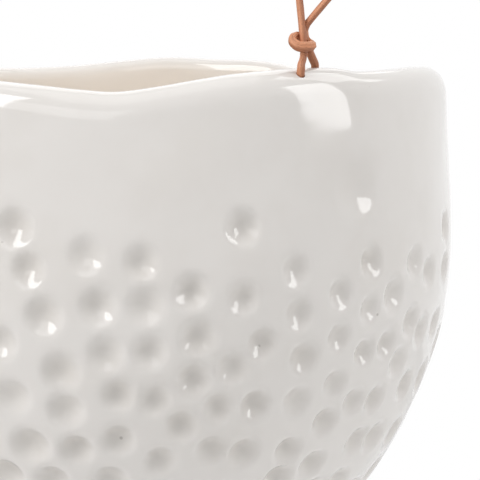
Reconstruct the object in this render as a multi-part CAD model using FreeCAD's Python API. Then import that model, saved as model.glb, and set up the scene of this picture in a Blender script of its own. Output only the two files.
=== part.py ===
import FreeCAD, Part
import math
import os

# A hanging planter: a round-bellied stoneware pot with a wavy rolled lip, carried on one leather lace.
# The lace is tied through a slanting hole on each side of the lip, and hangs from a plain metal ring.
# Millimetres. The origin is where a hook bears inside the top of the ring, +Z is up, and the hole at
# the front of the pot lies on +X. The left side is the right side turned half round about Z and lowered to
# the lip there.

# Pot, heights measured down from the mean rim
pot_height = 150.0
belly_radius = 100.0
belly_depth = 50.0
foot_radius = 46.3
upper_curve_radius = 445.0
wall = 7.5
floor_thickness = 9.0
foot_round = 6.0
floor_round = 14.0

# Lip: two quarter ovals that meet on its crest, which rises and falls round the pot
lip_outer_width = 6.5
lip_outer_drop = 9.0
lip_inner_width = 2.8
lip_inner_drop = 4.0
rim_wave = 4.3
rim_wave_reach = 46.0
rim_angles = (0, 9, 16, 26, 38, 52, 66, 80, 94, 107, 120, 130, 140, 150, 160, 170, 180, 190, 202, 228, 255,
              285, 303, 314, 322, 328, 335, 342, 349)
rim_wave_shares = (0.59, 0.59, 0.31, 0.34, 0.39, 0.25, -0.14, -0.50, -0.70, -0.58, 0.04, 0.14, 0.27, -0.01, -0.37,
                   -0.50, -0.47, -0.54, -0.54, -0.21, 0.31, 0.44, 0.0, -0.36, -0.66, -0.79, -0.48, -0.05, 0.31)

# Lace holes
hole_diameter = 2.6
hole_mouth_depth = 1.5
hole_mouth_inset = 2.9
hole_sideways = 1.3
hole_skew = 26.0
hole_slope = 48.0
hole_overrun = 6.0

# Hanger
lace_diameter = 2.0
lace_gap = 0.3
ring_diameter = 36.0
ring_wire = 3.0
hang_height = 190.0
top_knot_drop = 12.5
knot_height = 6.4
knot_inset = 3.8
knot_sideways = 3.0
view_turn = -32.6

# Lace routes in lace diameters. Rim routes run right, up and forward from the middle of the rim knot,
# as seen from view_turn degrees round the pot. Top routes run along X, up and along -Y from the top knot.
lace_through_rim_knot_shares = ((-0.04, -1.30, 0.15), (0.0, 0.0, 0.0))
rim_knot_route_shares = ((1.16, -1.75, -2.60), (0.82, -0.78, -1.35), (0.15, 0.35, -1.15),
                         (-0.66, 1.34, -1.22), (-1.35, 1.40, -0.15), (-1.62, 0.70, 0.45),
                         (-1.00, 0.05, 1.00), (0.0, -0.12, 1.20), (0.85, 0.02, 0.95), (1.34, 0.16, 0.10),
                         (1.12, 0.62, -0.85), (0.46, 1.45, -1.15), (0.42, 2.15, -1.22))
tail_route_shares = ((0.42, 2.15, -1.22), (0.40, 2.95, -1.28), (0.90, 3.70, -1.05), (1.90, 4.85, -0.75),
                     (3.36, 6.55, -0.45), (5.15, 8.60, -0.20), (6.80, 10.90, -0.10), (8.15, 13.20, -0.20),
                     (9.30, 15.40, -0.50))
outer_leg_shares = ((-0.05, -1.55, 0.18), (-0.10, -2.10, 0.42), (-0.30, -2.50, 1.08))
hole_reach_shares = (0.8, 7.0)
inner_leg_shares = ((-0.33, -9.15, -5.15), (0.46, -7.30, -5.42), (1.08, -4.84, -5.38), (1.63, -2.86, -4.54),
                    (1.19, -1.84, -2.72))
run_bend_leans = (9.6, 16.0, 23.0, 30.0, 36.0)
run_bend_step_shares = (7.0, 6.0, 6.0, 6.0, 6.0)
top_run_shares = ((0.75, -0.85, 0.0), (-0.05, 0.61, 0.0), (0.10, 1.60, 0.0))
top_knot_route_shares = ((-3.10, -3.60, -0.88), (-1.55, -1.92, -0.97), (-0.10, -0.92, -1.16),
                         (1.10, -0.35, -0.90), (1.62, 0.42, 0.0), (0.95, 0.30, 0.98), (0.0, -0.04, 1.16),
                         (-0.95, -0.18, 0.90), (-1.52, 0.45, 0.0), (-1.48, 1.70, -0.06), (-1.62, 2.60, -0.05))
bend_reach_share = 0.45

rim_z = -hang_height
foot_z = rim_z - pot_height
floor_z = foot_z + floor_thickness
lower_drop = pot_height - belly_depth
lower_inset = belly_radius - foot_radius
lower_curve_radius = (lower_drop**2 + lower_inset**2) / (2 * lower_inset)
lace_radius = lace_diameter / 2
hole_radius = hole_diameter / 2
ring_radius = (ring_diameter - ring_wire) / 2
ring_centre_z = -(ring_diameter / 2 - ring_wire)
ring_bottom_z = ring_centre_z - ring_radius
section_count = 72
sector_count = 8
wall_steps = 9
turn_steps = 5
band_steps = (turn_steps, wall_steps, wall_steps, turn_steps, turn_steps, wall_steps, wall_steps, turn_steps)
seam_tolerance = 0.001
up = FreeCAD.Vector(0, 0, 1)


def rim_height(angle):
    """Height of the lip's crest above the mean rim: a smooth periodic curve through the wave's places."""
    count = len(rim_angles)
    angle = angle % 360
    index = max(i for i in range(count) if rim_angles[i] <= angle)
    places = [rim_angles[(index + k) % count] + 360 * ((index + k) // count) for k in (-1, 0, 1, 2)]
    heights = [rim_wave * rim_wave_shares[(index + k) % count] for k in (-1, 0, 1, 2)]
    span = places[2] - places[1]
    slope_in = (heights[2] - heights[0]) / (places[2] - places[0]) * span
    slope_out = (heights[3] - heights[1]) / (places[3] - places[1]) * span
    t = (angle - places[1]) / span
    return ((2 * t**3 - 3 * t**2 + 1) * heights[1] + (t**3 - 2 * t**2 + t) * slope_in
            + (3 * t**2 - 2 * t**3) * heights[2] + (t**3 - t**2) * slope_out)


def outer_radius(depth):
    """Radius of the outside wall below the lip: two arcs that meet upright at the belly."""
    curve = lower_curve_radius if depth > belly_depth else upper_curve_radius
    return belly_radius - curve + math.sqrt(curve**2 - (depth - belly_depth) ** 2)


def shares(steps):
    """Evenly spaced shares from 0 to 1."""
    return [i / steps for i in range(steps + 1)]


def lower_wall(slope, offset):
    """Point of the lower wall, moved in by an offset, where it leans by a slope, as radius and depth."""
    reach = lower_curve_radius - offset
    return belly_radius - lower_curve_radius + reach * math.cos(slope), belly_depth + reach * math.sin(slope)


def corner_slope(offset, corner, flat_depth):
    """Slope of the lower wall, moved in by an offset, where it meets a rounded corner on a flat."""
    return math.asin((flat_depth - corner - belly_depth) / (lower_curve_radius - offset - corner))


def rounded_base(offset, corner, flat_depth):
    """Lower wall and rounded corner from the belly down to a flat, as radius and depth pairs."""
    slope = corner_slope(offset, corner, flat_depth)
    wall_points = [lower_wall(slope * s, offset) for s in shares(wall_steps)]
    middle = lower_wall(slope, offset + corner)
    turns = [slope + (math.pi / 2 - slope) * s for s in shares(turn_steps)[1:]]
    return wall_points + [(middle[0] + corner * math.cos(t), middle[1] + corner * math.sin(t)) for t in turns]


def crest_radius():
    """Radius of the lip's crest."""
    return outer_radius(lip_outer_drop) - lip_outer_width


def pot_profile():
    """Radius and depth from the foot up the outside, over the lip and down the inside to the floor."""
    points = rounded_base(0, foot_round, pot_height)[::-1]
    for s in shares(wall_steps)[1:]:
        depth = belly_depth + (lip_outer_drop - belly_depth) * s
        points.append((outer_radius(depth), depth))
    for s in shares(turn_steps)[1:]:
        turn = s * math.pi / 2
        points.append((crest_radius() + lip_outer_width * math.cos(turn),
                       lip_outer_drop * (1 - math.sin(turn))))
    for s in shares(turn_steps)[1:]:
        turn = s * math.pi / 2
        points.append((crest_radius() - lip_inner_width * math.sin(turn),
                       lip_inner_drop * (1 - math.cos(turn))))
    lip_inside, belly_inside = crest_radius() - lip_inner_width, belly_radius - wall
    for s in shares(wall_steps)[1:-1]:
        ease = s * s * (3 - 2 * s)
        points.append((lip_inside + (belly_inside - lip_inside) * ease,
                       lip_inner_drop + (belly_depth - lip_inner_drop) * s))
    return points + rounded_base(wall, floor_round, pot_height - floor_thickness)


def wave_share(depth):
    """Share of the rim's wave that a depth follows: all of it at the lip, none below the wave's reach."""
    s = min(max(1 - depth / rim_wave_reach, 0), 1)
    return s * s * (3 - 2 * s)


def pot_point(radius, depth, angle):
    """Point of the pot at an angle, lifted or lowered by its share of the rim's wave."""
    turn = math.radians(angle)
    height = rim_z - depth + wave_share(depth) * rim_height(angle)
    return FreeCAD.Vector(radius * math.cos(turn), radius * math.sin(turn), height)


def pot_skin():
    """Smooth faces from the foot up the outside, over the lip and down to the floor, in bands and sectors."""
    profile = pot_profile()
    lengths = [0]
    for before, after in zip(profile, profile[1:]):
        lengths.append(lengths[-1] + math.dist(before, after))
    along = [length / lengths[-1] for length in lengths]
    columns, poles, faces = [], [], []
    for i in range(section_count):
        angle = 180 / sector_count + 360 * i / section_count
        column = Part.BSplineCurve()
        points = [pot_point(radius, depth, angle) for radius, depth in profile]
        column.interpolate(Points=points, Parameters=along)
        columns.append(column.getPoles())
    for level in zip(*columns):
        ring = Part.BSplineCurve()
        ring.interpolate(Points=list(level), PeriodicFlag=True, Parameters=shares(section_count))
        poles.append(ring.getPoles())
    skin = Part.BSplineSurface()
    skin.buildFromPolesMultsKnots(poles, column.getMultiplicities(), ring.getMultiplicities(),
                                  column.getKnots(), ring.getKnots(), False, True, column.Degree, ring.Degree)
    ends = [along[sum(band_steps[:i])] for i in range(len(band_steps) + 1)]
    for low, high in zip(ends, ends[1:]):
        for sector in range(sector_count):
            patch = skin.copy()
            patch.segment(low, high, sector / sector_count, (sector + 1) / sector_count)
            faces.append(patch.toShape())
    return faces


def level_face(faces, height):
    """Flat face within the edges of a skin that lie level at a height."""
    edges = []
    for edge in [edge for face in faces for edge in face.Edges]:
        box = edge.BoundBox
        if max(abs(box.ZMin - height), abs(box.ZMax - height)) < seam_tolerance:
            edges.append(edge)
    return Part.Face(Part.Wire(Part.__sortEdges__(edges)))


def pot():
    """The skin closed by the foot and the floor, with a hole through the lip on each side."""
    skin = pot_skin()
    body = Part.Solid(Part.Shell(skin + [level_face(skin, foot_z), level_face(skin, floor_z)]))
    holes = []
    for turned, drop in ((0, 0), (180, left_drop())):
        hole = Part.makeCylinder(hole_radius, hole_length(), hole_start(), hole_direction())
        hole.rotate(FreeCAD.Vector(), up, turned)
        hole.translate(up * -drop)
        holes.append(hole)
    return body.cut(holes).Solids[0]


def lip_top():
    """Height of the lip's crest at the hole."""
    return rim_z + rim_height(0)


def left_drop():
    """How much lower the lip's crest is at the hole on the left."""
    return rim_height(0) - rim_height(180)


def hole_direction():
    """Unit vector along the hole, from its mouth outside down to its mouth inside."""
    skew, slope = math.radians(hole_skew), math.radians(hole_slope)
    level = math.cos(slope)
    return FreeCAD.Vector(-level * math.cos(skew), level * math.sin(skew), -math.sin(slope))


def hole_mouth():
    """Middle of the hole's mouth, on the outer shoulder of the lip."""
    return FreeCAD.Vector(outer_radius(lip_outer_drop) - hole_mouth_inset, hole_sideways,
                          lip_top() - hole_mouth_depth)


def hole_start():
    """Point outside the lip from which the hole is cut."""
    return hole_mouth() - hole_direction() * hole_overrun


def hole_length():
    """Length of the cut, past both sides of the lip."""
    return 2 * hole_overrun + (lip_outer_width + lip_inner_width) / math.cos(math.radians(hole_slope))


def rim_knot_middle():
    """Middle of the knot above the lip."""
    return FreeCAD.Vector(outer_radius(lip_outer_drop) - knot_inset, knot_sideways, lip_top() + knot_height)


def rim_place(shares_along):
    """Point near the rim knot from its shares to the right, up and forward."""
    turn = math.radians(view_turn)
    right = FreeCAD.Vector(-math.sin(turn), math.cos(turn), 0)
    forward = FreeCAD.Vector(math.cos(turn), math.sin(turn), 0)
    u, v, w = (s * lace_diameter for s in shares_along)
    return rim_knot_middle() + right * u + up * v + forward * w


def top_place(shares_along):
    """Point near the top knot from its shares along X, up and along -Y."""
    u, v, w = (s * lace_diameter for s in shares_along)
    middle = FreeCAD.Vector(ring_radius_clear() / 2, 0, ring_bottom_z - top_knot_drop)
    return middle + FreeCAD.Vector(u, -w, v)


def ring_radius_clear():
    """Distance from the middle of the ring's wire to the middle of the lace that goes over it."""
    return ring_wire / 2 + lace_gap + lace_radius


def tube(name, points):
    """Round lace along straight runs joined by tangent arcs as large as the runs allow."""
    points = [FreeCAD.Vector(p) for p in points]
    edges, radii, start = [], [], points[0]
    for before, corner, after in zip(points, points[1:], points[2:]):
        way_in, way_out = (corner - before).normalize(), (after - corner).normalize()
        half_turn = way_in.getAngle(way_out) / 2
        reach = bend_reach_share * min((corner - before).Length, (after - corner).Length)
        radius = reach / math.tan(half_turn)
        centre = corner + (way_out - way_in).normalize() * (radius / math.cos(half_turn))
        first, last = corner - way_in * reach, corner + way_out * reach
        middle = centre + (corner - centre).normalize() * radius
        edges += [Part.LineSegment(start, first).toShape(), Part.Arc(first, middle, last).toShape()]
        radii.append(radius)
        start = last
    edges.append(Part.LineSegment(start, points[-1]).toShape())
    path = Part.Wire(edges)
    section = Part.Wire(Part.makeCircle(lace_radius, points[0], points[1] - points[0]))
    solid = path.makePipeShell([section], True, False)
    full = math.pi * lace_radius**2 * path.Length
    print(name, "length %.1f least radius %.2f volume share %.4f"
          % (path.Length, min(radii), solid.Volume / full))
    return solid


def half_round(points):
    """The same points turned half round the pot's axis and lowered to the lip on the left."""
    return [FreeCAD.Vector(-p.x, -p.y, p.z - left_drop()) for p in points]


def run_start():
    """The lace up through the rim knot and along the bend that leads it in towards the ring."""
    points = [rim_place(p) for p in lace_through_rim_knot_shares]
    for lean, step in zip(run_bend_leans, run_bend_step_shares):
        turn = math.radians(lean)
        way = FreeCAD.Vector(-math.sin(turn), 0, math.cos(turn))
        points.append(points[-1] + way * (step * lace_diameter))
    return points


def hole_loop():
    """The lace from under the rim knot down over the lip, in through the hole and up inside the lip."""
    way = hole_direction() * lace_diameter
    before, beyond = hole_reach_shares
    points = [rim_place(p) for p in outer_leg_shares]
    points += [hole_mouth() - way * before, hole_mouth() + way * beyond]
    points += [rim_place(p) for p in inner_leg_shares]
    return points


def lace_bight():
    """The lace from the top knot up and over the ring's wire, and down again."""
    over = ring_radius_clear() / math.cos(math.pi / 8)
    points = [top_place(top_run_shares[-1])]
    for eighth in (-1, 1, 3, 5, 7, 9):
        turn = eighth * math.pi / 8
        points.append(FreeCAD.Vector(over * math.cos(turn), 0, ring_bottom_z + over * math.sin(turn)))
    points.append(top_place(top_knot_route_shares[-1]))
    return points


def hanging_ring():
    """Plain ring of round wire, upright across the lace."""
    centre, axis = FreeCAD.Vector(0, 0, ring_centre_z), FreeCAD.Vector(1, 0, 0)
    return Part.makeTorus(ring_radius, ring_wire / 2, centre, axis)


def lace_parts():
    """Every stretch of the lace by name."""
    run_right = run_start() + [top_place(p) for p in top_run_shares]
    run_left = half_round(run_start()) + [top_place(top_knot_route_shares[0])]
    rim_knot = [rim_place(p) for p in rim_knot_route_shares]
    tail = [rim_place(p) for p in tail_route_shares]
    return {
        "hanger_run_right": run_right,
        "hanger_run_left": run_left,
        "top_knot": [top_place(p) for p in top_knot_route_shares],
        "lace_bight": lace_bight(),
        "rim_knot_right": rim_knot,
        "rim_knot_left": half_round(rim_knot),
        "lace_tail_right": tail,
        "lace_tail_left": half_round(tail),
        "hole_loop_right": hole_loop(),
        "hole_loop_left": half_round(hole_loop()),
    }


def main():
    os.makedirs("parts", exist_ok=True)
    solids = {"pot_body": pot(), "hanging_ring": hanging_ring()}
    for name, points in lace_parts().items():
        solids[name] = tube(name, points)
    for name, solid in solids.items():
        solid.exportStep("parts/%s.step" % name)
        box = solid.BoundBox
        print(name, solid.ShapeType, solid.isValid(), "volume %.0f" % solid.Volume,
              "%.1f x %.1f x %.1f" % (box.XLength, box.YLength, box.ZLength))


main()
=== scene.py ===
import math

import bpy
import numpy as np
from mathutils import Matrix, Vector


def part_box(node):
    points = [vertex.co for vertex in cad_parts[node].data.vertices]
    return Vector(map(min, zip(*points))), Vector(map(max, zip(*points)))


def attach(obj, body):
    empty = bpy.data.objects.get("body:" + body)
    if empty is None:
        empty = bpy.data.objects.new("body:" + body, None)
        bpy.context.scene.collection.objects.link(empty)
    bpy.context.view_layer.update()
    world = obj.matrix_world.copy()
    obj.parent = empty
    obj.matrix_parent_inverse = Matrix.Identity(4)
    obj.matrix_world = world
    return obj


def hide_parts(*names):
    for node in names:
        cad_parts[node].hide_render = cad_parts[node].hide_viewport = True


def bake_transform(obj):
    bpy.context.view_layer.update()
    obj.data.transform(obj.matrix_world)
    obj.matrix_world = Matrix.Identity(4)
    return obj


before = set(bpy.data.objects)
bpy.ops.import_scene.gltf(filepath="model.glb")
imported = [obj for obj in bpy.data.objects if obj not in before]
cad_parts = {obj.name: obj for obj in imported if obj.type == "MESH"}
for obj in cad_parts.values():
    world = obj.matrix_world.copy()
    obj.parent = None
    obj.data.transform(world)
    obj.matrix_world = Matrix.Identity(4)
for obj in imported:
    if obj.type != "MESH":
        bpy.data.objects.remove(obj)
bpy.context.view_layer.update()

bl_info = {
    "name": "Hanging planter",
    "version": (1, 0, 0),
    "blender": (4, 5, 0),
    "location": "View3D > Sidebar > Planter",
    "description": "Dimpled glazed pot on a leather lace, with its ring and a plain studio",
    "category": "Object",
}

POT_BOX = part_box("pot_body")
RING_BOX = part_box("hanging_ring")

# Width and height of the frame in pixels, and width of the camera's sensor in millimetres
FRAME_PIXELS = 480
SENSOR_WIDTH = 36

# The rim's wave: crest heights as shares of rim_wave at angles round the pot, in degrees
RIM_ANGLES = (0, 9, 16, 26, 38, 52, 66, 80, 94, 107, 120, 130, 140, 150, 160, 170, 180, 190, 202, 228, 255,
              285, 303, 314, 322, 328, 335, 342, 349)
RIM_SHARES = (0.59, 0.59, 0.31, 0.34, 0.39, 0.25, -0.14, -0.50, -0.70, -0.58, 0.04, 0.14, 0.27, -0.01, -0.37,
              -0.50, -0.47, -0.54, -0.54, -0.21, 0.31, 0.44, 0.0, -0.36, -0.66, -0.79, -0.48, -0.05, 0.31)

# Middles of the dimples that the photograph shows, in its pixels
SEEN_DIMPLES = (
    (14, 227), (28, 269), (44, 316), (86, 255), (141, 263), (98, 307), (146, 306), (1, 342), (106, 354),
    (150, 352), (61, 372), (13, 397), (66, 410), (118, 395), (155, 400), (30, 446), (76, 450), (118, 440),
    (6, 475), (52, 480), (110, 481), (160, 461), (243, 227), (192, 292), (243, 298), (198, 337), (263, 343),
    (296, 269), (300, 313), (372, 262), (341, 293), (416, 262), (430.5, 271), (445, 267), (445.5, 226),
    (370, 309), (395, 295), (412, 322), (422, 332), (436, 324), (339, 337), (387, 345), (365, 353), (304, 358),
    (398.5, 362.5), (336, 384), (405.5, 385), (421, 377), (233, 368), (194, 380), (218, 408), (256, 406),
    (298, 402), (181, 426), (211, 450), (244, 454), (289, 452), (278, 480), (354, 402), (375, 400), (326, 423),
    (357, 442), (374, 437), (392, 431), (313, 466), (338, 481), (371, 469), (356, 188))

# Dimples among them that are deeper or shallower than the rest, as shares of the usual depth
SEEN_DEPTHS = {(44, 316): 1.12, (98, 307): 1.15, (1, 342): 1.10, (146, 306): 1.02, (86, 255): 0.86,
               (141, 263): 0.86, (192, 292): 1.10, (198, 337): 1.10, (243, 227): 1.20, (243, 298): 1.20,
               (263, 343): 1.25, (256, 406): 1.10}

# Where the dimples begin and end to grow smaller across the photograph, in pixels, and their size there
SHRINK_PLACES = (150, 330)
SHRINK_SHARES = (1.02, 0.85)

# Hand-thrown lumps: share of their height, waves round the pot, turn per metre of depth and start
LUMPS = ((1, 3, 40, 0), (0.8, 7, -95, 1.1), (0.5, 13, 150, 2.3))

# Lace routes in lace diameters: right, up and forward of a rim knot, or X, up and -Y from the top knot
THROUGH_RIM_KNOT = ((-0.04, -1.30, 0.15), (0.0, 0.0, 0.0))
RIM_KNOT = ((0.86, -0.85, -1.95), (0.10, 0.35, -1.95), (-0.70, 1.30, -1.35), (-1.42, 1.44, -0.15),
            (-1.78, 0.72, 0.45), (-1.05, 0.02, 1.00), (0.0, -0.15, 1.20), (0.85, -0.05, 0.95),
            (1.36, 0.04, 0.10), (0.88, 0.34, -0.96), (0.14, 1.15, -1.18), (0.12, 2.15, -1.22))
KNOT_MIDDLE = (0, 0.3, 0)
TAIL = ((0.12, 2.15, -1.22), (0.30, 2.90, -1.28), (0.96, 3.70, -1.05), (1.90, 4.85, -0.75),
        (3.36, 6.55, -0.45), (5.15, 8.60, -0.20), (6.80, 10.90, -0.10), (8.15, 13.20, -0.20),
        (9.30, 15.40, -0.50))
OUTER_LEG = ((-0.08, -1.55, 0.18), (-0.20, -2.10, 0.42), (-0.40, -2.50, 1.08))
HOLE_REACH = (0.8, 7.0)
INNER_LEG = ((-0.33, -9.15, -5.15), (0.46, -7.30, -5.42), (1.26, -4.84, -5.38), (1.80, -2.90, -4.54),
             (1.26, -1.84, -2.90), (0.86, -0.85, -1.95))
RUN_LEANS = (9.6, 16.0, 23.0, 30.0, 36.0)
RUN_STEPS = (7.0, 6.0, 6.0, 6.0, 6.0)
TOP_RUN = ((0.75, -0.85, 0.0), (-0.05, 0.61, 0.0), (0.10, 1.60, 0.0))
TOP_KNOT = ((-3.10, -3.60, -0.88), (-1.55, -1.92, -0.97), (-0.10, -0.92, -1.16), (1.10, -0.35, -0.90),
            (1.62, 0.42, 0.0), (0.95, 0.30, 0.98), (0.0, -0.04, 1.16), (-0.95, -0.18, 0.90),
            (-1.52, 0.45, 0.0), (-1.48, 1.70, -0.06), (-1.62, 2.60, -0.05))

# How far a stretch of lace reaches on into its neighbours at its start and end, in metres
LACE_OVERLAPS = {"hole_loop": (0.0014, 0.0012), "rim_knot": (0, 0.001), "lace_bight": (0.001, 0.001),
                 "top_knot": (0.001, 0)}

# Share of a stretch's length, and its thickness and width there in lace diameters
LACE_SWELLS = {
    "plain": ((0, 0.985, 0.985), (1, 0.985, 0.985)),
    "hole_loop": ((0, 0.96, 0.96), (0.08, 1.02, 1.02), (0.22, 1.24, 1.24), (0.45, 1.24, 1.24),
                  (0.62, 1.02, 1.02), (0.80, 1.12, 1.12), (1, 1.10, 1.10)),
    "rim_knot": ((0, 1.04, 1.08), (0.12, 1.02, 1.10), (0.24, 1.02, 1.26), (0.34, 1.04, 1.46),
                 (0.56, 1, 1.50), (0.70, 1, 1.34), (0.82, 0.98, 1.05), (1, 0.96, 0.96)),
}

# Soft lights: turn from the camera's direction and height in degrees, distance, width, length and power
SOFTBOXES = {
    "left_softbox": (-50, 34, 1.3, 0.55, 0.90, 8.4),
    "right_softbox": (71, 21.5, 1.0, 0.355, 0.55, 2.55),
    "near_softbox": (-20, 25, 1.3, 0.9, 0.5, 1.7),
    "high_softbox": (107, 50, 1.2, 0.65, 0.6, 2.6),
    "top_softbox": (20, 78, 1.2, 0.9, 0.9, 1.9),
    "back_softbox": (180, 50, 1.2, 0.9, 0.9, 2.4),
}
LIGHT_AIM_Z = -0.25

WHITE = (1, 1, 1, 1)


def length_prop(name, description, default):
    """A length that a user can change, in metres."""
    return bpy.props.FloatProperty(name=name, description=description, default=default, precision=4,
                                   unit="LENGTH")


def share_prop(name, description, default):
    """A plain share from 0 to 1."""
    return bpy.props.FloatProperty(name=name, description=description, default=default, min=0, max=1,
                                   subtype="FACTOR")


def colour_prop(name, description, default):
    """A linear colour."""
    return bpy.props.FloatVectorProperty(name=name, description=description, default=default, size=3, min=0,
                                         max=1, subtype="COLOR")


class PotSettings(bpy.types.PropertyGroup):
    """Sizes and glaze of the pot."""
    belly_radius: length_prop("Belly radius", "Radius of the widest part", POT_BOX[1].x)
    rim_z: length_prop("Mean rim", "Height of the mean rim in the part's frame", -0.190)
    height: length_prop("Height", "Mean rim to foot", 0.150)
    belly_depth: length_prop("Belly depth", "Mean rim to the widest part", 0.050)
    foot_radius: length_prop("Foot radius", "Radius at which the wall's curve reaches the foot", 0.0463)
    upper_curve: length_prop("Upper curve", "Radius of the wall's curve above the belly", 0.445)
    wall: length_prop("Wall", "Thickness of the wall", 0.0075)
    floor: length_prop("Floor", "Thickness of the floor", 0.009)
    foot_round: length_prop("Foot round", "Radius of the foot's edge", 0.006)
    floor_round: length_prop("Floor round", "Radius between wall and floor inside", 0.014)
    lip_outer_width: length_prop("Lip outer width", "Crest to the outer face", 0.0065)
    lip_outer_drop: length_prop("Lip outer drop", "Crest down to the outer wall", 0.009)
    lip_inner_width: length_prop("Lip inner width", "Crest to the inner face", 0.0028)
    lip_inner_drop: length_prop("Lip inner drop", "Crest down to the inner wall", 0.004)
    rim_wave: length_prop("Rim wave", "Height of the rim's wave", 0.0043)
    rim_wave_reach: length_prop("Wave reach", "Depth at which the wave has died out", 0.046)
    dimple_radius: length_prop("Dimple radius", "Radius of a pressed dimple", 0.0060)
    dimple_depth: length_prop("Dimple depth", "Depth of a pressed dimple", 0.0026)
    faint_above: length_prop("Faint above", "Depth below the mean rim above which a dimple is faint", 0.040)
    faint_radius: length_prop("Faint radius", "Radius of a faint dimple", 0.0095)
    faint_depth: length_prop("Faint depth", "Depth of a faint dimple", 0.0014)
    dimple_step: length_prop("Dimple step", "Usual distance between dimples", 0.0132)
    lump: length_prop("Lump", "Height of the hand-thrown unevenness", 0.00028)
    glaze: colour_prop("Glaze", "Colour of the glaze", (0.745, 0.715, 0.685))
    # Colour of the dimples by their depth: partly glaze that lies thick, partly painted shade in the hollows
    pooled_and_shaded: colour_prop("Pooled glaze", "Colour of the glaze where it lies thick", (0.60, 0.56, 0.51))
    inside: colour_prop("Inside", "Colour of the glaze inside the pot", (0.81, 0.745, 0.67))
    pinhole: colour_prop("Pinhole", "Colour of the clay in a pinhole", (0.36, 0.33, 0.30))
    gloss: share_prop("Roughness", "Roughness of the glaze", 0.075)


class LaceSettings(bpy.types.PropertyGroup):
    """Size and leather of the lace."""
    diameter: length_prop("Diameter", "Thickness of the lace", 0.002)
    # tan is the leather's colour; the colour below it is painted shade on the half of the lace to the camera's
    # right
    tan: colour_prop("Tan", "Colour of the leather's smooth side", (0.66, 0.285, 0.15))
    painted_shade_side: colour_prop("Flesh", "Colour of the leather's rough side", (0.36, 0.13, 0.06))
    worn: colour_prop("Worn", "Colour of rubbed leather", (0.70, 0.36, 0.215))
    dark: colour_prop("Dark", "Colour of folds and pores", (0.17, 0.058, 0.027))


class RingSettings(bpy.types.PropertyGroup):
    """Size and metal of the ring."""
    diameter: length_prop("Diameter", "Outer diameter of the ring", RING_BOX[1].y - RING_BOX[0].y)
    wire: length_prop("Wire", "Thickness of the ring's wire", RING_BOX[1].x - RING_BOX[0].x)
    metal: colour_prop("Metal", "Colour of the metal", (0.40, 0.38, 0.35))
    dull: colour_prop("Dull", "Colour of dulled metal", (0.26, 0.245, 0.225))


class StageSettings(bpy.types.PropertyGroup):
    """Camera, lights and floor."""
    lens_pixels: bpy.props.FloatProperty(name="Lens", description="Focal length in pixels of the frame",
                                         default=3280)
    turn: bpy.props.FloatProperty(name="Turn", description="Direction from the pot to the camera round Z",
                                  default=math.radians(-32.6), subtype="ANGLE")
    distance: length_prop("Distance", "Camera to the pot's axis", 1.0)
    aside: length_prop("Aside", "Middle of the frame to the right of the pot's axis", 0.0354)
    aim_z: length_prop("Aim", "Height of the middle of the frame", -0.2422)
    camera_z: length_prop("Camera height", "Height of the camera", -0.159)
    surround: share_prop("Surround", "Strength of the white surround as a light", 0.37)
    floor_z: length_prop("Floor", "Height of the floor", -0.47)
    pale: colour_prop("Floor colour", "Colour of the floor", (0.86, 0.86, 0.86))
    shaded: colour_prop("Floor clouds", "Colour of the floor's faint clouds", (0.80, 0.80, 0.80))
    floor_glow: share_prop("Floor glow", "Plain white in the floor, to the camera and in reflections",
                           0.55)


def settings():
    """The four groups of settings."""
    scene = bpy.context.scene
    return scene.planter_pot, scene.planter_lace, scene.planter_ring, scene.planter_stage


class Value:
    """A shader socket on which plain arithmetic adds Math nodes."""

    def __init__(self, shade, socket):
        self.shade, self.socket = shade, socket

    def math(self, operation, *others):
        """A Math node on this value and others."""
        values = dict(enumerate((self, *others)))
        return self.shade.node("ShaderNodeMath", {"operation": operation}, values)[0]

    def __add__(self, other):
        return self.math("ADD", other)

    def __sub__(self, other):
        return self.math("SUBTRACT", other)

    def __rsub__(self, other):
        return self.shade.node("ShaderNodeMath", {"operation": "SUBTRACT"}, {0: other, 1: self})[0]

    def __mul__(self, other):
        return self.math("MULTIPLY", other)

    __radd__ = __add__
    __rmul__ = __mul__

    def ramp(self, low, high):
        """0 at low, 1 at high, smooth between."""
        made = {"interpolation_type": "SMOOTHSTEP"}
        values = {"Value": self, "From Min": low, "From Max": high}
        return self.shade.node("ShaderNodeMapRange", made, values)["Result"]


class Outputs:
    """A node's outputs by name or number, as values."""

    def __init__(self, shade, node):
        self.shade, self.made = shade, node

    def __getitem__(self, key):
        return Value(self.shade, self.made.outputs[key])


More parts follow.
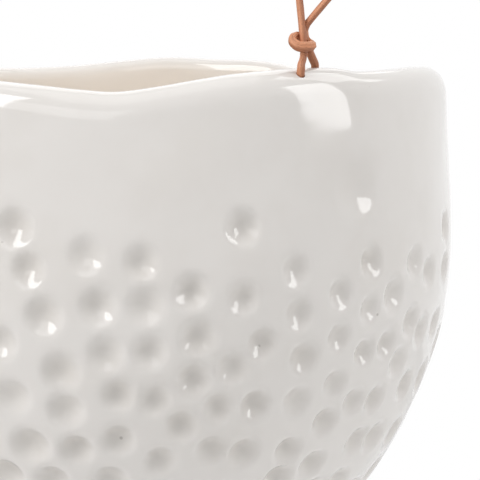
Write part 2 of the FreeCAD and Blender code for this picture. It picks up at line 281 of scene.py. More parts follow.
class Shade:
    """The nodes of one material or world."""

    def __init__(self, owner):
        self.owner = owner
        owner.use_nodes = True
        self.tree = owner.node_tree
        self.tree.nodes.clear()

    def node(self, kind, made=None, values=None):
        """Adds a node: first its settings, then the values or links of its sockets."""
        node = self.tree.nodes.new(kind)
        for key, value in (made or {}).items():
            setattr(node, key, value)
        for key, value in (values or {}).items():
            if isinstance(value, Value):
                self.tree.links.new(value.socket, node.inputs[key])
            else:
                node.inputs[key].default_value = value
        return Outputs(self, node)

    def mix(self, factor, first, second):
        """A colour between two colours."""
        first, second = (c if isinstance(c, Value) else (*c, 1) for c in (first, second))
        return self.node("ShaderNodeMix", {"data_type": "RGBA"}, {0: factor, 6: first, 7: second})[2]

    def noise(self, where, scale, detail=2.0, roughness=0.5):
        """Soft noise from 0 to 1."""
        values = {"Vector": where, "Scale": scale, "Detail": detail, "Roughness": roughness}
        return self.node("ShaderNodeTexNoise", None, values)["Fac"]

    def stretched(self, where, scale):
        """A place stretched by a scale along each axis."""
        return self.node("ShaderNodeMapping", None, {"Vector": where, "Scale": scale})["Vector"]

    def attribute(self, name):
        """A value kept on the mesh."""
        return self.node("ShaderNodeAttribute", {"attribute_name": name})["Fac"]

    def bump(self, height, distance, strength):
        """A normal from a height."""
        values = {"Height": height, "Distance": distance, "Strength": strength}
        return self.node("ShaderNodeBump", None, values)["Normal"]

    def looked_at(self):
        """1 for what the camera, reflections and clear surfaces see, 0 for light on other surfaces."""
        path = self.node("ShaderNodeLightPath")
        seen = path["Is Camera Ray"].math("MAXIMUM", path["Is Glossy Ray"])
        return seen.math("MAXIMUM", path["Is Transmission Ray"])

    def finish(self, values):
        """Ends the material in one surface shader."""
        surface = self.node("ShaderNodeBsdfPrincipled", None, values)["BSDF"]
        self.node("ShaderNodeOutputMaterial", None, {"Surface": surface})
        return self.owner


def glaze_material(pot):
    """White glaze: greyer in dimples (thick glaze and painted shade), warm inside, faint clouds, fine
    pinholes.
    """
    cloud_scale, grain_scale, pinhole_scale = 38, 420, 95
    pooling_and_shade, clouding, soiling = 0.28, 0.18, 0.55
    shade = Shade(bpy.data.materials.new("white_glaze"))
    where = shade.node("ShaderNodeTexCoord")["Object"]
    cloud = shade.noise(where, cloud_scale, 3)
    grain = shade.noise(where, grain_scale, 3, 0.6)
    cells = shade.node("ShaderNodeTexVoronoi", {"feature": "F1"}, {"Vector": where, "Scale": pinhole_scale})
    chance = shade.node("ShaderNodeSeparateColor", None, {"Color": cells["Color"]})["Red"]
    hole = (1 - cells["Distance"].ramp(0.03, 0.06)) * chance.ramp(0.90, 0.905)
    # Dimples darken by their depth: partly glaze that lies thick, partly painted shade; the clouds are the
    # glaze's own
    thick = shade.attribute("pooled_and_shaded") * pooling_and_shade + cloud.ramp(0.42, 0.72) * clouding
    colour = shade.mix(thick, pot.glaze, pot.pooled_and_shaded)
    colour = shade.mix(shade.attribute("inside"), colour, pot.inside)
    colour = shade.mix(hole * soiling, colour, pot.pinhole)
    height = grain * 0.05 + cloud * 0.5 - hole * 0.6
    return shade.finish({
        "Base Color": colour, "Roughness": pot.gloss - 0.03 + cloud * 0.06, "IOR": 1.5, "Coat Weight": 0.25,
        "Coat Roughness": 0.04, "Normal": shade.bump(height, 0.0004, 0.35)})


def leather_material(lace):
    """Tan leather: one half darkened as painted shade, long fibres, rubbed places, pores and a dull sheen."""
    fibre_scale, cloud_scale, pore_scale = (26, 160, 1), (3, 90, 1), (30, 900, 1)
    rubbing, painted_shade_side_share, pore_share, fold_share = 0.55, 0.8, 0.45, 0.55
    shade = Shade(bpy.data.materials.new("tan_leather"))
    where = shade.node("ShaderNodeTexCoord")["UV"]
    fibre = shade.noise(shade.stretched(where, fibre_scale), 1, 3, 0.6)
    cloud = shade.noise(shade.stretched(where, cloud_scale), 1, 2)
    pore = shade.noise(shade.stretched(where, pore_scale), 1, 2, 0.7)
    around = shade.node("ShaderNodeSeparateXYZ", None, {"Vector": where})["X"] * math.tau
    # Painted shade: the half of the lace on the camera's right turns darker, as if turned away from the light
    painted_shade_mask = (around.math("SINE") + fibre * 0.8).ramp(0.0, 0.9)
    colour = shade.mix(cloud.ramp(0.35, 0.75) * rubbing, lace.tan, lace.worn)
    colour = shade.mix(painted_shade_mask * painted_shade_side_share, colour, lace.painted_shade_side)
    darkened = pore.ramp(0.54, 0.70) * pore_share + (1 - fibre.ramp(0.32, 0.56)) * fold_share
    colour = shade.mix(darkened, colour, lace.dark)
    return shade.finish({
        "Base Color": colour, "Roughness": 0.60 - cloud * 0.18, "IOR": 1.45,
        "Normal": shade.bump(fibre * 0.6 + pore * 0.4, 0.00018, 0.6)})


def metal_material(ring):
    """Plain drawn wire with fine scratches along it."""
    along_wire, scratch_scale, dull_scale, dulling = (30, 3, 1), 12, 7, 0.4
    shade = Shade(bpy.data.materials.new("drawn_wire"))
    where = shade.node("ShaderNodeTexCoord")["UV"]
    scratch = shade.noise(shade.stretched(where, along_wire), scratch_scale, 2, 0.6)
    dull = shade.noise(where, dull_scale, 3)
    colour = shade.mix(dull.ramp(0.35, 0.75) * dulling, ring.metal, ring.dull)
    return shade.finish({
        "Base Color": colour, "Metallic": 1.0, "Roughness": 0.22 + scratch * 0.16,
        "Normal": shade.bump(scratch, 0.00008, 0.3)})


def floor_material(stage):
    """Pale matt floor with faint clouds, part of which is plain white to the camera and in reflections."""
    cloud_scale, clouding = 6, 0.2
    shade = Shade(bpy.data.materials.new("pale_floor"))
    where = shade.node("ShaderNodeTexCoord")["Object"]
    colour = shade.mix(shade.noise(where, cloud_scale) * clouding, stage.pale, stage.shaded)
    matt = shade.node("ShaderNodeBsdfPrincipled", None, {"Base Color": colour, "Roughness": 0.7})["BSDF"]
    glow = shade.node("ShaderNodeEmission", None, {"Color": WHITE})["Emission"]
    both = shade.node("ShaderNodeMixShader", None, {0: shade.looked_at() * stage.floor_glow, 1: matt, 2: glow})
    shade.node("ShaderNodeOutputMaterial", None, {"Surface": both["Shader"]})
    return shade.owner


def white_surround(stage):
    """World that is plain white to the camera and in reflections, and a weaker light on surfaces."""
    shade = Shade(bpy.data.worlds.new("white_surround"))
    strength = shade.looked_at() * (1 - stage.surround) + stage.surround
    white = shade.node("ShaderNodeBackground", None, {"Color": WHITE, "Strength": strength})["Background"]
    shade.node("ShaderNodeOutputWorld", None, {"Surface": white})
    return shade.owner


def turns(count):
    """Angles of even steps round a circle."""
    return np.arange(count) * math.tau / count


def rim_height(pot, angle):
    """Crest height over the mean rim: cubic curves through the wave's places, sloped by their neighbours."""
    places = np.array(RIM_ANGLES, float)
    heights = pot.rim_wave * np.array(RIM_SHARES)
    degrees = np.degrees(angle) % 360
    index = np.searchsorted(places, degrees, side="right") - 1
    count = len(places)
    at = [(index + k) % count for k in (-1, 0, 1, 2)]
    turn = [places[a] + 360 * ((index + k) // count) for a, k in zip(at, (-1, 0, 1, 2))]
    high = [heights[a] for a in at]
    span = turn[2] - turn[1]
    slope_in = (high[2] - high[0]) / (turn[2] - turn[0]) * span
    slope_out = (high[3] - high[1]) / (turn[3] - turn[1]) * span
    t = (degrees - turn[1]) / span
    return ((2 * t**3 - 3 * t**2 + 1) * high[1] + (t**3 - 2 * t**2 + t) * slope_in
            + (3 * t**2 - 2 * t**3) * high[2] + (t**3 - t**2) * slope_out)


def lower_curve(pot):
    """Radius of the arc from the belly down to the foot's edge."""
    drop, inset = pot.height - pot.belly_depth, pot.belly_radius - pot.foot_radius
    return (drop**2 + inset**2) / (2 * inset)


def outer_radius(pot, depth):
    """Radius of the outside wall: two arcs that meet upright at the belly."""
    curve = np.where(depth > pot.belly_depth, lower_curve(pot), pot.upper_curve)
    return pot.belly_radius - curve + np.sqrt(np.maximum(curve**2 - (depth - pot.belly_depth) ** 2, 0))


def base_curve(pot, offset, corner, flat_depth, wall_rows):
    """Radius and depth down the lower wall, moved in by an offset, and round a corner to a flat."""
    corner_rows = 7
    curve, left = lower_curve(pot) - offset, pot.belly_radius - lower_curve(pot)
    slope = math.asin((flat_depth - corner - pot.belly_depth) / (curve - corner))
    wall = np.linspace(0, slope, wall_rows)
    bend = np.linspace(slope, math.pi / 2, corner_rows)[1:]
    middle = left + (curve - corner) * math.cos(slope), flat_depth - corner
    return (np.concatenate([left + curve * np.cos(wall), middle[0] + corner * np.cos(bend)]),
            np.concatenate([pot.belly_depth + curve * np.sin(wall), middle[1] + corner * np.sin(bend)]))


def pot_profile(pot):
    """Radius and depth from the foot's middle up the outside, over the lip and down to the floor's middle.

    Also the number of rows that belong to the outside, up to the crest.
    """
    flat, shoulder = np.array((0.35, 0.8)), 0.034
    wall_rows, shoulder_rows, lip_rows = 80, (12, 10), (9, 8)
    inner_neck_rows, inner_wall_rows = 9, 14
    low_r, low_d = base_curve(pot, 0, pot.foot_round, pot.height, wall_rows)
    high_d = np.concatenate([np.linspace(pot.belly_depth, shoulder, shoulder_rows[0])[1:],
                             np.linspace(shoulder, pot.lip_outer_drop, shoulder_rows[1])[1:]])
    turn = np.linspace(0, math.pi / 2, lip_rows[0])[1:]
    crest = float(outer_radius(pot, pot.lip_outer_drop)) - pot.lip_outer_width
    outside_r = [low_r[-1] * flat, low_r[::-1], outer_radius(pot, high_d),
                 crest + pot.lip_outer_width * np.cos(turn)]
    outside_d = [np.full(2, pot.height), low_d[::-1], high_d, pot.lip_outer_drop * (1 - np.sin(turn))]
    bend = np.linspace(0, math.pi / 2, lip_rows[1])[1:]
    fall = np.linspace(0, 1, inner_neck_rows)[1:-1]
    ease = fall**2 * (3 - 2 * fall)
    lip, belly = crest - pot.lip_inner_width, pot.belly_radius - pot.wall
    in_r, in_d = base_curve(pot, pot.wall, pot.floor_round, pot.height - pot.floor, inner_wall_rows)
    inside_r = [crest - pot.lip_inner_width * np.sin(bend), lip + (belly - lip) * ease, in_r,
                in_r[-1] * flat[::-1]]
    inside_d = [pot.lip_inner_drop * (1 - np.cos(bend)),
                pot.lip_inner_drop + (pot.belly_depth - pot.lip_inner_drop) * fall, in_d,
                np.full(2, pot.height - pot.floor)]
    outer = sum(len(part) for part in outside_r)
    return np.concatenate(outside_r + inside_r), np.concatenate(outside_d + inside_d), outer


def level_ways(stage):
    """Level directions to the photograph's right and towards the camera."""
    right = np.array((-math.sin(stage.turn), math.cos(stage.turn), 0))
    toward = np.array((math.cos(stage.turn), math.sin(stage.turn), 0))
    return right, toward


def camera_axes(stage):
    """Camera's place, and its right, up and forward directions."""
    right, toward = (Vector(way) for way in level_ways(stage))
    aim = right * stage.aside + Vector((0, 0, stage.aim_z))
    place = right * stage.aside + toward * stage.distance + Vector((0, 0, stage.camera_z))
    ahead = (aim - place).normalized()
    return place, right, right.cross(ahead), ahead


def seen_places(pot, stage):
    """Points of the pot's outside under the photograph's dimples: where each pixel's ray enters the wall."""
    before, beyond, steps = 0.12, 0.03, 1500
    place, right, up, ahead = (np.array(v) for v in camera_axes(stage))
    pixels = np.array(SEEN_DIMPLES, float) - FRAME_PIXELS / 2
    rays = ahead + right * pixels[:, :1] / stage.lens_pixels - up * pixels[:, 1:] / stage.lens_pixels
    reach = np.linspace(stage.distance - before, stage.distance + beyond, steps)
    points = place + rays[:, None, :] * reach[None, :, None]
    room = np.hypot(points[..., 0], points[..., 1]) - outer_radius(pot, pot.rim_z - points[..., 2])
    return points[np.arange(len(points)), np.argmax(room < 0, axis=1)]


def scatter(count, salt):
    """Repeatable numbers from 0 to 1: the broken part of a large sine."""
    step, size = 12.9898, 43758.5453
    return np.modf(np.abs(np.sin(np.arange(count) * step + salt) * size))[0]


def shown_places(stage, points):
    """Whether each point of the pot's outside faces the camera and lies in its frame."""
    facing_limit, margin = -0.16, 4
    place, right, up, ahead = (np.array(v) for v in camera_axes(stage))
    away = points - place
    scale = stage.lens_pixels / (away @ ahead)
    pixels = np.stack([away @ right * scale, away @ up * scale], axis=1)
    lengths = np.linalg.norm(away[:, :2], axis=1) * np.linalg.norm(points[:, :2], axis=1)
    facing = (away[:, :2] * points[:, :2]).sum(axis=1) / lengths
    return (facing < facing_limit) & np.all(np.abs(pixels) < FRAME_PIXELS / 2 + margin, axis=1)


def unseen_places(pot, stage, seen):
    """Dimples outside the photograph: staggered, jittered rows round the pot, without those it would show.

    The top row is broken, as it is in the photograph.
    """
    slope_range, row_share = (-0.045, 0.93), 0.93
    jitter_along, jitter_down, broken_share, clear_share = 0.46, 0.0064, 0.42, 0.72
    curve = lower_curve(pot)
    slopes = np.arange(*slope_range, pot.dimple_step * row_share / curve)
    depth = pot.belly_depth + curve * np.sin(np.maximum(slopes, 0)) + curve * np.minimum(slopes, 0)
    counts = np.round(math.tau * outer_radius(pot, depth) / pot.dimple_step).astype(int)
    row = np.repeat(np.arange(len(depth)), counts)
    step = np.arange(len(row)) - np.repeat(np.cumsum(counts) - counts, counts)
    along, lower, missed = (scatter(len(row), salt) for salt in (1.7, 9.1, 3.3))
    angle = math.tau * (step + 0.5 * (row % 2) + jitter_along * (along - 0.5)) / counts[row]
    down = depth[row] + jitter_down * (lower - 0.5)
    radius = outer_radius(pot, down)
    points = np.stack([radius * np.cos(angle), radius * np.sin(angle), pot.rim_z - down], axis=1)
    gaps = np.linalg.norm(points[:, None, :] - seen[None, :, :], axis=2).min(axis=1)
    left_out = (row == 0) & (missed < broken_share)
    return points[~shown_places(stage, points) & ~left_out & (gaps > clear_share * pot.dimple_step)]


def dimple_field(pot, points, centres):
    """Depth pressed into each point: the deepest of round dents, each (1 - (distance / radius)^2)^power deep.

    The lower dents are deeper, those on the photograph's right are smaller, and one far above is faint.
    """
    low_depth, wider_below, deeper_below, power = 0.06, 0.02, 0.28, 1.5
    low = np.clip((pot.rim_z - low_depth - centres[:, 2]) / low_depth, 0, 1)
    sizes, depths = (least + more * scatter(len(centres), salt)
                     for least, more, salt in ((0.92, 0.18, 4.4), (0.88, 0.26, 7.7)))
    size = pot.dimple_radius * sizes * (1 + wider_below * low)
    deep = pot.dimple_depth * depths * (1 + deeper_below * low)
    shrink = np.interp([across for across, _ in SEEN_DIMPLES], SHRINK_PLACES, SHRINK_SHARES)
    size[:len(SEEN_DIMPLES)] *= shrink
    deep[:len(SEEN_DIMPLES)] *= shrink * [SEEN_DEPTHS.get(pixel, 1) for pixel in SEEN_DIMPLES]
    faint = centres[:, 2] > pot.rim_z - pot.faint_above
    size = np.where(faint, pot.faint_radius, size)
    deep = np.where(faint, pot.faint_depth, deep)
    pressed = np.zeros(len(points))
    for centre, radius, depth in zip(centres, size, deep):
        near = 1 - ((points - centre) ** 2).sum(axis=1) / radius**2
        pressed = np.maximum(pressed, depth * np.maximum(near, 0) ** power)
    return pressed


def shell_mesh(name, grid):
    """Closed skin from a grid of rings, each end closed by a fan to its middle.

    Faces point outwards where the rings turn anticlockwise, seen from the way in which the rows go.
    """
    rows, count = grid.shape[:2]
    ends = np.stack([grid[0].mean(axis=0), grid[-1].mean(axis=0)])
    points = np.concatenate([grid.reshape(-1, 3), ends])
    low = (np.arange(rows - 1)[:, None] * count + np.arange(count)[None, :]).ravel()
    side = (np.arange(rows - 1)[:, None] * count + (np.arange(count) + 1)[None, :] % count).ravel()
    quads = np.stack([low, side, side + count, low + count], axis=1)
    first = np.arange(count)
    after = (first + 1) % count
    last = (rows - 1) * count
    fans = np.concatenate([np.stack([after, first, np.full(count, rows * count)], axis=1),
                           np.stack([last + first, last + after, np.full(count, rows * count + 1)], axis=1)])
    mesh = bpy.data.meshes.new(name)
    mesh.from_pydata(points, [], quads.tolist() + fans.tolist())
    mesh.update()
    return mesh


def keep_value(mesh, name, values):
    """Keeps one number per point on a mesh, for its material."""
    mesh.attributes.new(name, "FLOAT", "POINT").data.foreach_set("value", np.asarray(values, np.float32))


def placed(name, data):
    """A new object in the scene."""
    piece = bpy.data.objects.new(name, data)
    bpy.context.scene.collection.objects.link(piece)
    return piece


def show(mesh, material):
    """Puts a smooth mesh with its material into the scene."""
    mesh.materials.append(material)
    mesh.polygons.foreach_set("use_smooth", np.ones(len(mesh.polygons), bool))
    return placed(mesh.name, mesh)


def turned_normals(radius, depth, angle):
    """Outward directions of a profile turned round Z, at each of its rows and angles."""
    rise, run = np.gradient(-depth), np.gradient(radius)
    size = np.hypot(rise, run)
    out, up = (rise / size)[:, None], (-run / size)[:, None]
    return np.stack([out * np.cos(angle), out * np.sin(angle), np.repeat(up, len(angle), axis=1)], axis=2)


def lump_field(pot, depth, angle):
    """Height of the hand-thrown lumps: slow waves round and down the pot that die out at its rim and foot."""
    foot_gap, foot_fade, rim_fade = 0.004, 0.02, 0.012
    fade = (np.clip((pot.height - foot_gap - depth) / foot_fade, 0, 1)
            * np.clip(depth / rim_fade, 0, 1))
    waves = sum(share * np.sin(round_pot * angle + down * depth[:, None] + start)
                for share, round_pot, down, start in LUMPS)
    return pot.lump * fade[:, None] * waves


def dimpled_pot(pot, stage):
    """The pot's skin: its profile turned round Z, lifted by the rim's wave and pressed in by the dimples.

    Point at angle a and profile place (r, d): (r cos a, r sin a, rim - d + share(d) wave(a)), moved along the
    profile's normal by slow lumps and minus the dimple field.
    """
    count, inside_start, inside_fade = 650, 0.0005, 0.004
    radius, depth, outer = pot_profile(pot)
    angle = turns(count)
    left = np.clip(1 - depth / pot.rim_wave_reach, 0, 1)
    share = left**2 * (3 - 2 * left)
    height = pot.rim_z - depth[:, None] + share[:, None] * rim_height(pot, angle)[None, :]
    grid = np.stack([radius[:, None] * np.cos(angle), radius[:, None] * np.sin(angle), height], axis=2)
    seen = seen_places(pot, stage)
    centres = np.concatenate([seen, unseen_places(pot, stage, seen)])
    pressed = np.zeros(grid.shape[:2])
    pressed[:outer] = dimple_field(pot, grid[:outer].reshape(-1, 3), centres).reshape(outer, count)
    moved = lump_field(pot, depth, angle) - pressed
    mesh = shell_mesh("glazed_pot", grid + turned_normals(radius, depth, angle) * moved[:, :, None])
    inside = np.zeros(grid.shape[:2])
    inside[outer:] = np.clip((depth[outer:] - inside_start) / inside_fade, 0, 1)[:, None]
    # Dimple depth at each point, for the darker glaze there: partly thick glaze, partly painted shade
    keep_value(mesh, "pooled_and_shaded", np.append(pressed.ravel() / pot.dimple_depth, (0, 0)))
    keep_value(mesh, "inside", np.append(inside.ravel(), (0, 1)))
    return mesh


def lip_place(pot):
    """Radius of the lip's outer face, and the crest's height at the lace hole."""
    return float(outer_radius(pot, pot.lip_outer_drop)), pot.rim_z + pot.rim_wave * RIM_SHARES[0]


def hole_line(pot):
    """Middle of the lace hole's outer mouth, and the way in along the hole."""
    slope, skew = math.radians(48), math.radians(26)
    inset, aside, drop = 0.0029, 0.0013, 0.0015
    face, crest = lip_place(pot)
    level = math.cos(slope)
    way = Vector((-level * math.cos(skew), level * math.sin(skew), -math.sin(slope)))
    return Vector((face - inset, aside, crest - drop)), way


def rim_points(pot, lace, stage, shares):
    """Points near the rim knot from their shares to the right, up and forward."""
    inset, aside, rise = 0.0038, 0.0030, 0.0064
    face, crest = lip_place(pot)
    middle = np.array((face - inset, aside, crest + rise))
    right, toward = level_ways(stage)
    table = np.array(shares) * lace.diameter
    return middle + table[:, :1] * right + table[:, 1:2] * np.array((0, 0, 1)) + table[:, 2:] * toward


def wire_place(ring):
    """Height of the wire's middle at the bottom of the ring."""
    return -(ring.diameter / 2 - ring.wire) - (ring.diameter - ring.wire) / 2


def bight_radius(lace, ring):
    """Middle of the ring's wire to the middle of the lace over it."""
    gap = 0.0003
    return ring.wire / 2 + gap + lace.diameter / 2


def top_points(lace, ring, shares):
    """Points near the top knot from their shares along X, up and along -Y."""
    knot_drop = 0.0125
    middle = np.array((bight_radius(lace, ring) / 2, 0, wire_place(ring) - knot_drop))
    table = np.array(shares) * lace.diameter
    return middle + table[:, (0, 2, 1)] * np.array((1, -1, 1))


def run_points(pot, lace, stage):
    """The lace up through the rim knot and along the bend towards the ring."""
    start = rim_points(pot, lace, stage, THROUGH_RIM_KNOT)
    lean = np.radians(RUN_LEANS)
    steps = np.stack([-np.sin(lean), np.zeros(len(lean)), np.cos(lean)], axis=1) * lace.diameter
    return np.concatenate([start, start[-1] + np.cumsum(steps * np.array(RUN_STEPS)[:, None], axis=0)])


def hole_points(pot, lace, stage):
    """The lace from under the rim knot over the lip, in through the hole and up inside the lip."""
    mouth, way = hole_line(pot)
    before, beyond = (lace.diameter * reach for reach in HOLE_REACH)
    through = np.array([mouth - way * before, mouth + way * beyond])
    outer, inner = (rim_points(pot, lace, stage, leg) for leg in (OUTER_LEG, INNER_LEG))
    return np.concatenate([outer, through, inner])


def bight_points(lace, ring):
    """The lace from the top knot over the ring's wire and down again: six corners of a ring of eight."""
    half_side = math.pi / 8
    over = bight_radius(lace, ring) / math.cos(half_side)
    turn = np.arange(-1, 10, 2) * half_side
    up = wire_place(ring) + over * np.sin(turn)
    bend = np.stack([over * np.cos(turn), np.zeros(len(turn)), up], axis=1)
    return np.concatenate([top_points(lace, ring, TOP_RUN[-1:]), bend, top_points(lace, ring, TOP_KNOT[-1:])])


def half_round(pot, points):
    """The same points turned half round Z and lowered to the lip on the left."""
    drop = pot.rim_wave * (RIM_SHARES[0] - RIM_SHARES[RIM_ANGLES.index(180)])
    return points * np.array((-1, -1, 1)) - np.array((0, 0, drop))


def lace_routes(pot, lace, ring, stage):
    """The route's points of each stretch of lace, by its node."""
    run, loop = run_points(pot, lace, stage), hole_points(pot, lace, stage)
    knot, tail = (rim_points(pot, lace, stage, shares) for shares in (RIM_KNOT, TAIL))
    return {
        "hanger_run_right": np.concatenate([run, top_points(lace, ring, TOP_RUN)]),
        "hanger_run_left": np.concatenate([half_round(pot, run), top_points(lace, ring, TOP_KNOT[:1])]),
        "top_knot": top_points(lace, ring, TOP_KNOT),
        "lace_bight": bight_points(lace, ring),
        "rim_knot_right": knot, "rim_knot_left": half_round(pot, knot),
        "lace_tail_right": tail, "lace_tail_left": half_round(pot, tail),
        "hole_loop_right": loop, "hole_loop_left": half_round(pot, loop),
    }


def lace_line(points):
    """A smooth line near a route: a third-order spline with the route's points as its controls."""
    curve = bpy.data.curves.new("lace_route", "CURVE")
    curve.dimensions = "3D"
    curve.resolution_u = 10
    spline = curve.splines.new("NURBS")
    spline.points.add(len(points) - 1)
    spline.points.foreach_set("co", np.column_stack([points, np.ones(len(points))]).ravel())
    spline.order_u = 3
    spline.use_endpoint_u = True
    holder = bpy.data.objects.new("lace_route", curve)
    mesh = bpy.data.meshes.new_from_object(holder)
    line = np.empty(len(mesh.vertices) * 3)
    mesh.vertices.foreach_get("co", line)
    bpy.data.objects.remove(holder)
    bpy.data.meshes.remove(mesh)
    bpy.data.curves.remove(curve)
    return line.reshape(-1, 3)


def reached_on(line, before, after):
    """A line made longer at its ends, straight on, so that it reaches into the next stretch of lace."""
    first, last = line[0] - line[1], line[-1] - line[-2]
    start = line[:1] + first * before / np.linalg.norm(first)
    end = line[-1:] + last * after / np.linalg.norm(last)
    return np.concatenate([part for part, length in ((start, before), (line, 1), (end, after)) if length])


def line_ways(line):
    """Unit directions along a line."""
    along = np.gradient(line, axis=0)
    return along / np.linalg.norm(along, axis=1)[:, None]


def carried_frames(line, facing):
    """Two directions across a line, the first facing a way at its start, carried without twist."""
    along = line_ways(line)
    across = np.array(facing, float)
    first = []
    for way in along:
        across = across - way * np.dot(across, way)
        across = across / np.linalg.norm(across)
        first.append(across)
    first = np.array(first)
    return first, np.cross(along, first)


def outward_frames(line, middle):
    """Two directions across a line: away from a middle point, and at right angles to that."""
    along = line_ways(line)
    away = line - middle
    away = away - along * (away * along).sum(axis=1)[:, None]
    first = away / np.linalg.norm(away, axis=1)[:, None]
    return first, np.cross(along, first)


def corner_steps(mesh, count):
    """Row and place in its row of each face corner on a mesh whose rows have count points."""
    corner = np.empty(len(mesh.loops), int)
    mesh.loops.foreach_get("vertex_index", corner)
    return np.divmod(corner, count)


def counted_on(steps, count):
    """Steps of quads' corners round a closed row, with count in place of 0 where a quad closes the row."""
    quads = steps.reshape(-1, 4)
    closing = (quads.max(axis=1) == count - 1)[:, None] & (quads == 0)
    return (quads + count * closing).ravel()


def lace_mesh(name, line, diameter, frames, swell, crease, free_end):
    """A lace along a line: its radius is half the diameter, a little squared and uneven.

    swell holds rows of (share of the length, thickness, width), as shares of the diameter, along the two
    directions of frames, and crease is the height of the folds that wind along the lace, as a share of its
    radius. The UV map runs once round the lace and in metres along it. A free end is drawn in a little, as
    cut leather is.
    """
    count, squared, beaded, wavering = 32, 0.045, 0.018, 0.016
    corners, waver_waves, crease_waves = 4, 3, 7
    bead_turns, waver_turns, crease_turns, salt_scale = 900, 420, 260, 700
    end_share, end_length = 0.72, 0.3 * diameter
    first, second = frames
    length = np.append(0, np.cumsum(np.linalg.norm(np.diff(line, axis=0), axis=1)))
    turn = turns(count)
    along = length[:, None]
    salt = line[0].sum() * salt_scale
    uneven = (1 + squared * np.cos(corners * turn) + beaded * np.sin(along * bead_turns + salt)
              + wavering * np.sin(waver_waves * turn + along * waver_turns + salt)
              + crease * np.cos(crease_waves * turn - along * crease_turns + salt))
    if free_end:
        left = (length[-1] - along) / end_length
        uneven = uneven * np.clip(end_share + (1 - end_share) * left, end_share, 1)
    share, thick, wide = np.array(swell, float).T
    radius = diameter / 2 * uneven
    thick, wide = (radius * np.interp(length / length[-1], share, size)[:, None] for size in (thick, wide))
    grid = (line[:, None, :] + (thick * np.cos(turn))[:, :, None] * first[:, None, :]
            + (wide * np.sin(turn))[:, :, None] * second[:, None, :])
    mesh = shell_mesh(name, grid)
    row, place = corner_steps(mesh, count)
    quads = (len(line) - 1) * count * 4
    place[:quads] = counted_on(place[:quads], count)
    map_uv = np.column_stack([place / count, length[np.minimum(row, len(line) - 1)]])
    mesh.uv_layers.new(name="lace").data.foreach_set("uv", map_uv.ravel())
    return mesh


def ring_mesh(ring):
    """Round wire in a ring: the wire's circle carried round X, with a small soldered seam at the top."""
    count, around, seam_height, seam_sharpness = 96, 24, 0.035, 900
    turn = turns(count)
    bend = turns(around)
    middle = (ring.diameter - ring.wire) / 2
    seam = 1 + seam_height * np.exp(-((np.cos(turn) - 1) * seam_sharpness) ** 2)
    thick = ring.wire / 2 * seam
    radius = middle + thick[:, None] * np.cos(bend)
    centre = -(ring.diameter / 2 - ring.wire)
    points = np.stack([thick[:, None] * np.sin(bend), radius * np.sin(turn)[:, None],
                       centre + radius * np.cos(turn)[:, None]], axis=2).reshape(-1, 3)
    start = np.arange(count)[:, None] * around
    low = (start + np.arange(around)).ravel()
    side = (start + (np.arange(around) + 1) % around).ravel()
    ahead, side_ahead = ((place + around) % len(points) for place in (low, side))
    mesh = bpy.data.meshes.new("metal_ring")
    mesh.from_pydata(points, [], np.stack([low, ahead, side_ahead, side], axis=1).tolist())
    row, place = corner_steps(mesh, around)
    map_uv = np.column_stack([counted_on(row, count) / count, counted_on(place, around) / around])
    mesh.uv_layers.new(name="wire").data.foreach_set("uv", map_uv.ravel())
    mesh.update()
    return mesh


def floor_mesh(stage):
    """Round floor: circles out to its edge on top, and back in again underneath."""
    count, thickness, top = 128, 0.01, (0.12, 0.3, 0.6, 0.85)
    under = top[:0:-1]
    turn, radius = turns(count), np.array(top + under)[:, None]
    height = np.repeat((stage.floor_z, stage.floor_z - thickness), (len(top), len(under)))
    level = np.repeat(height[:, None], count, axis=1)
    mesh = shell_mesh("floor", np.stack([radius * np.cos(turn), radius * np.sin(turn), level], axis=2))
    mesh.flip_normals()
    return mesh


def drill(piece, pot):
    """Cuts both lace holes through the lip."""
    before, beyond, radius, count, sharp_angle = 0.006, 0.0195, 0.0013, 28, math.radians(50)
    mouth, way = hole_line(pot)
    start, end = mouth - way * before, mouth + way * beyond
    right = np.array([start, start.lerp(end, 0.5), end])
    turn = turns(count)
    for line in (right, half_round(pot, right)):
        first, second = carried_frames(line, (0, 0, 1))
        grid = line[:, None, :] + radius * (np.cos(turn)[None, :, None] * first[:, None, :]
                                            + np.sin(turn)[None, :, None] * second[:, None, :])
        cutter = placed("lace_hole", shell_mesh("lace_hole", grid))
        cut = piece.modifiers.new("lace_hole", "BOOLEAN")
        cut.operation, cut.solver, cut.object = "DIFFERENCE", "EXACT", cutter
        bpy.context.view_layer.update()
        cleared = bpy.data.meshes.new_from_object(piece.evaluated_get(bpy.context.evaluated_depsgraph_get()))
        piece.modifiers.clear()
        piece.data = cleared
        bpy.data.objects.remove(cutter)
    piece.data.set_sharp_from_angle(angle=sharp_angle)


class PLANTER_OT_pot(bpy.types.Operator):
    """Dimpled, glazed pot in place of its plain solid"""
    bl_idname = "planter.pot"
    bl_label = "Pot"

    def execute(self, context):
        pot, _, _, stage = settings()
        piece = show(dimpled_pot(pot, stage), glaze_material(pot))
        drill(piece, pot)
        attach(piece, "pot")
        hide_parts("pot_body")
        return {"FINISHED"}


def lace_skin(node, line, pot, lace, stage):
    """Mesh of one stretch of lace: its kind of swell and creases, and which way its painted shade faces."""
    kind = node.removesuffix("_right").removesuffix("_left")
    line = reached_on(line, *LACE_OVERLAPS.get(kind, (0, 0)))
    if kind == "rim_knot":
        middle = rim_points(pot, lace, stage, (KNOT_MIDDLE,))[0]
        frames = outward_frames(line, middle if node.endswith("right") else half_round(pot, middle))
    else:
        toward = level_ways(stage)[1]
        turned = (kind == "hole_loop") != node.endswith("left")
        # The frames start facing the camera, so the painted shade falls on the lace's half to the camera's
        # right
        frames = carried_frames(line, -toward if turned else toward)
    swell = LACE_SWELLS.get(kind, LACE_SWELLS["plain"])
    crease = 0.07 if "knot" in kind else 0.012
    return lace_mesh("leather_" + node, line, lace.diameter, frames, swell, crease, kind == "lace_tail")


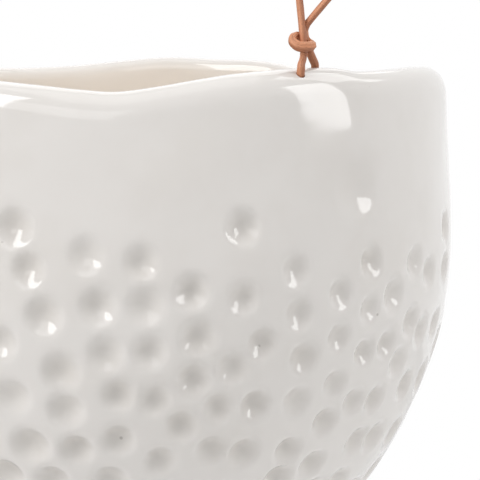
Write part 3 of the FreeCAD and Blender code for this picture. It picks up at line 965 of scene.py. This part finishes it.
class PLANTER_OT_lace(bpy.types.Operator):
    """Every stretch of the leather lace"""
    bl_idname = "planter.lace"
    bl_label = "Lace"

    def execute(self, context):
        pot, lace, ring, stage = settings()
        leather = leather_material(lace)
        lines = {node: lace_line(route) for node, route in lace_routes(pot, lace, ring, stage).items()}
        pieces = {}
        for node, line in lines.items():
            pieces[node] = piece = show(lace_skin(node, line, pot, lace, stage), leather)
            if node.startswith("hole_loop"):
                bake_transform(piece)
            else:
                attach(piece, "hanger")
            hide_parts(node)
        return {"FINISHED"}


class PLANTER_OT_ring(bpy.types.Operator):
    """Plain metal ring"""
    bl_idname = "planter.ring"
    bl_label = "Ring"

    def execute(self, context):
        _, _, ring, _ = settings()
        piece = show(ring_mesh(ring), metal_material(ring))
        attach(piece, "ring")
        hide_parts("hanging_ring")
        return {"FINISHED"}


def aimed(name, data, place, ahead):
    """Puts a camera or light at a place, looking ahead."""
    piece = placed(name, data)
    piece.location = place
    piece.rotation_mode = "QUATERNION"
    piece.rotation_quaternion = ahead.to_track_quat("-Z", "Y")
    return piece


def soft_light(name, stage, turn, height, distance, width, length, power):
    """A soft light that faces the pot: its turn from the camera's direction and its height in degrees."""
    around, raised = stage.turn + math.radians(turn), math.radians(height)
    level = math.cos(raised)
    back = Vector((level * math.cos(around), level * math.sin(around), math.sin(raised)))
    data = bpy.data.lights.new(name, "AREA")
    data.shape, data.size, data.size_y, data.energy = "RECTANGLE", width, length, power
    lamp = aimed(name, data, Vector((0, 0, LIGHT_AIM_Z)) + back * distance, -back)
    lamp.visible_camera = False


def place_camera(stage):
    """The photograph's camera."""
    place, _, _, ahead = camera_axes(stage)
    data = bpy.data.cameras.new("camera")
    data.sensor_width = SENSOR_WIDTH
    data.lens = stage.lens_pixels / FRAME_PIXELS * SENSOR_WIDTH
    bpy.context.scene.camera = aimed("camera", data, place, ahead)


class PLANTER_OT_stage(bpy.types.Operator):
    """Camera, soft lights, white surround and pale floor"""
    bl_idname = "planter.stage"
    bl_label = "Stage"

    def execute(self, context):
        stage = settings()[3]
        context.scene.view_settings.view_transform = "Standard"
        place_camera(stage)
        for name, values in SOFTBOXES.items():
            soft_light(name, stage, *values)
        context.scene.world = white_surround(stage)
        show(floor_mesh(stage), floor_material(stage))
        return {"FINISHED"}


class PLANTER_PT_panel(bpy.types.Panel):
    """Buttons and settings of the planter"""
    bl_idname = "PLANTER_PT_panel"
    bl_label = "Planter"
    bl_space_type = "VIEW_3D"
    bl_region_type = "UI"
    bl_category = "Planter"

    def draw(self, context):
        for operator, group in ((PLANTER_OT_pot, "planter_pot"), (PLANTER_OT_lace, "planter_lace"),
                                (PLANTER_OT_ring, "planter_ring"), (PLANTER_OT_stage, "planter_stage")):
            box = self.layout.box()
            box.operator(operator.bl_idname)
            values = getattr(context.scene, group)
            for key in values.bl_rna.properties.keys():
                if key not in ("rna_type", "name"):
                    box.prop(values, key)


GROUPS = {"planter_pot": PotSettings, "planter_lace": LaceSettings, "planter_ring": RingSettings,
          "planter_stage": StageSettings}
CLASSES = (*GROUPS.values(), PLANTER_OT_pot, PLANTER_OT_lace, PLANTER_OT_ring, PLANTER_OT_stage,
           PLANTER_PT_panel)


def register():
    for cls in CLASSES:
        bpy.utils.register_class(cls)
    for name, group in GROUPS.items():
        setattr(bpy.types.Scene, name, bpy.props.PointerProperty(type=group))


def unregister():
    for name in GROUPS:
        delattr(bpy.types.Scene, name)
    for cls in reversed(CLASSES):
        bpy.utils.unregister_class(cls)


def main():
    register()
    bpy.ops.planter.stage()
    bpy.ops.planter.pot()
    bpy.ops.planter.ring()
    bpy.ops.planter.lace()


if __name__ == "__main__":
    main()
